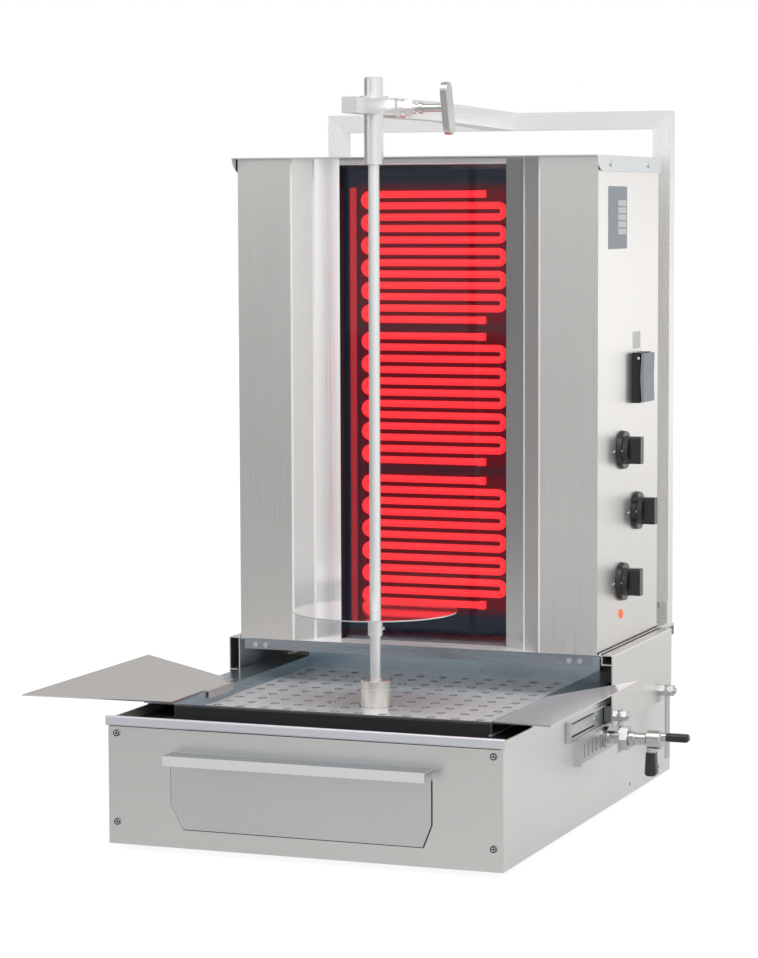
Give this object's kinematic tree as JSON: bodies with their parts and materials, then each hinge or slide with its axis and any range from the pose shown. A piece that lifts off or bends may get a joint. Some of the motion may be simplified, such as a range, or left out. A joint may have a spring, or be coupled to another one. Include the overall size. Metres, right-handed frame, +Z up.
{
  "type": "electric doner kebab grill",
  "caption": "Vertical spit grill with a sliding heater tower, a perforated drip pan with side wings, a front drawer, side knobs and a mast arm that steadies the spit.",
  "frame": {"origin": "under the middle of the whole object's bounding box, on the surface that it stands on", "axes": "+Z up along the spit, -Y towards the drawer and the user, +X towards the knobs and the lock"},
  "size_m": [0.69, 0.801, 0.928],
  "materials": {
    "body_steel": "satin brushed stainless steel sheet",
    "plated_steel": "zinc plated steel",
    "bright_steel": "polished stainless steel",
    "glass": "clear heat resistant glass, dark from the hollow behind it",
    "element": "glowing quartz heating element",
    "insulation": "matt ceramic board",
    "black_plastic": "matt black heat resistant plastic",
    "switch_plastic": "satin grey blue plastic",
    "rocker_plastic": "gloss black plastic",
    "lamp_lens": "lit amber red lens",
    "cast_metal": "matt cast metal",
    "rubber": "black rubber",
    "motor_paint": "dark grey paint"
  },
  "bodies": {
    "base": {"base_floor": "body_steel", "base_side_left": "body_steel", "base_side_right": "body_steel", "base_rear": "body_steel", "base_front": "body_steel", "front_screws": "bright_steel", "rubber_feet": "rubber", "pan_ledges": "motor_paint", "drawer_runners": "plated_steel", "pan_floor": "body_steel", "pan_rim": "body_steel", "pan_wing_left": "body_steel", "pan_wing_right": "body_steel", "drive_motor": "motor_paint", "slides_fixed": "plated_steel", "rack_plate": "plated_steel"},
    "drawer": {"drawer_front": "body_steel", "drawer_tray": "body_steel"},
    "spit": {"drive_socket": "bright_steel", "spit_rod": "bright_steel", "spit_disc": "bright_steel", "spit_collar": "bright_steel"},
    "carriage": {"slides_moving": "plated_steel", "carriage_side_left": "body_steel", "carriage_side_right": "body_steel", "carriage_deck": "body_steel", "carriage_screws": "plated_steel", "tower_side_left": "body_steel", "tower_side_right": "body_steel", "tower_rear": "body_steel", "tower_lid": "body_steel", "reflector_left": "body_steel", "reflector_right": "body_steel", "glass_panel": "glass", "top_trim": "body_steel", "heater_upper": "element", "heater_middle": "element", "heater_lower": "element", "insulation_board": "insulation", "energy_regulators": "black_plastic", "switch_box": "switch_plastic", "indicator_lamp": "lamp_lens", "cable_gland": "black_plastic", "mast_shelf": "body_steel", "mast_post_left": "body_steel", "mast_post_right": "body_steel", "mast_crossbar": "body_steel", "mast_brackets": "body_steel", "arm_tube": "body_steel", "lock_straps": "plated_steel"},
    "arm": {"arm_slider": "body_steel", "spit_sleeve": "bright_steel", "sleeve_cap": "bright_steel"},
    "clamp": {"clamp_screw": "cast_metal"},
    "lock": {"lock_spindle": "cast_metal", "lock_grips": "black_plastic"},
    "knob_top": {"knob_upper": "black_plastic"},
    "knob_mid": {"knob_middle": "black_plastic"},
    "knob_low": {"knob_lower": "black_plastic"},
    "rocker": {"switch_rocker": "rocker_plastic"}
  },
  "joints": [
    {"name": "carriage_slide", "type": "slide", "parent": "base", "child": "carriage", "axis": [0, 1, 0], "range_m": [-0.03, 0.045]},
    {"name": "arm_slide", "type": "slide", "parent": "carriage", "child": "arm", "axis": [0, 1, 0], "range_m": [-0.045, 0.03]},
    {"name": "drawer_slide", "type": "slide", "parent": "base", "child": "drawer", "axis": [0, -1, 0], "range_m": [0, 0.3]},
    {"name": "spit_spin", "type": "hinge", "parent": "base", "child": "spit", "pos_m": [-0.016, -0.086, 0.2], "axis": [0, 0, 1], "continuous": true},
    {"name": "clamp_turn", "type": "hinge", "parent": "carriage", "child": "clamp", "pos_m": [0.024, -0.0155, 0.892], "axis": [1, 0, 0], "range_deg": [-180, 180]},
    {"name": "lock_turn", "type": "hinge", "parent": "carriage", "child": "lock", "pos_m": [0.274, 0.0675, 0.102], "axis": [1, 0, 0], "range_deg": [-90, 90]},
    {"name": "rocker_tilt", "type": "hinge", "parent": "carriage", "child": "rocker", "pos_m": [0.2388, 0.232, 0.5485], "axis": [0, 1, 0], "range_deg": [-2.5, 2.5]},
    {"name": "knob_top_turn", "type": "hinge", "parent": "carriage", "child": "knob_top", "pos_m": [0.228, 0.1605, 0.4586], "axis": [1, 0, 0], "range_deg": [-135, 135]},
    {"name": "knob_mid_turn", "type": "hinge", "parent": "carriage", "child": "knob_mid", "pos_m": [0.228, 0.2265, 0.3747], "axis": [1, 0, 0], "range_deg": [-135, 135]},
    {"name": "knob_low_turn", "type": "hinge", "parent": "carriage", "child": "knob_low", "pos_m": [0.228, 0.1595, 0.289], "axis": [1, 0, 0], "range_deg": [-135, 135]}
  ],
  "couplings": [
    {"joint": "arm_slide", "follows": "carriage_slide", "ratio": -1}
  ]
}
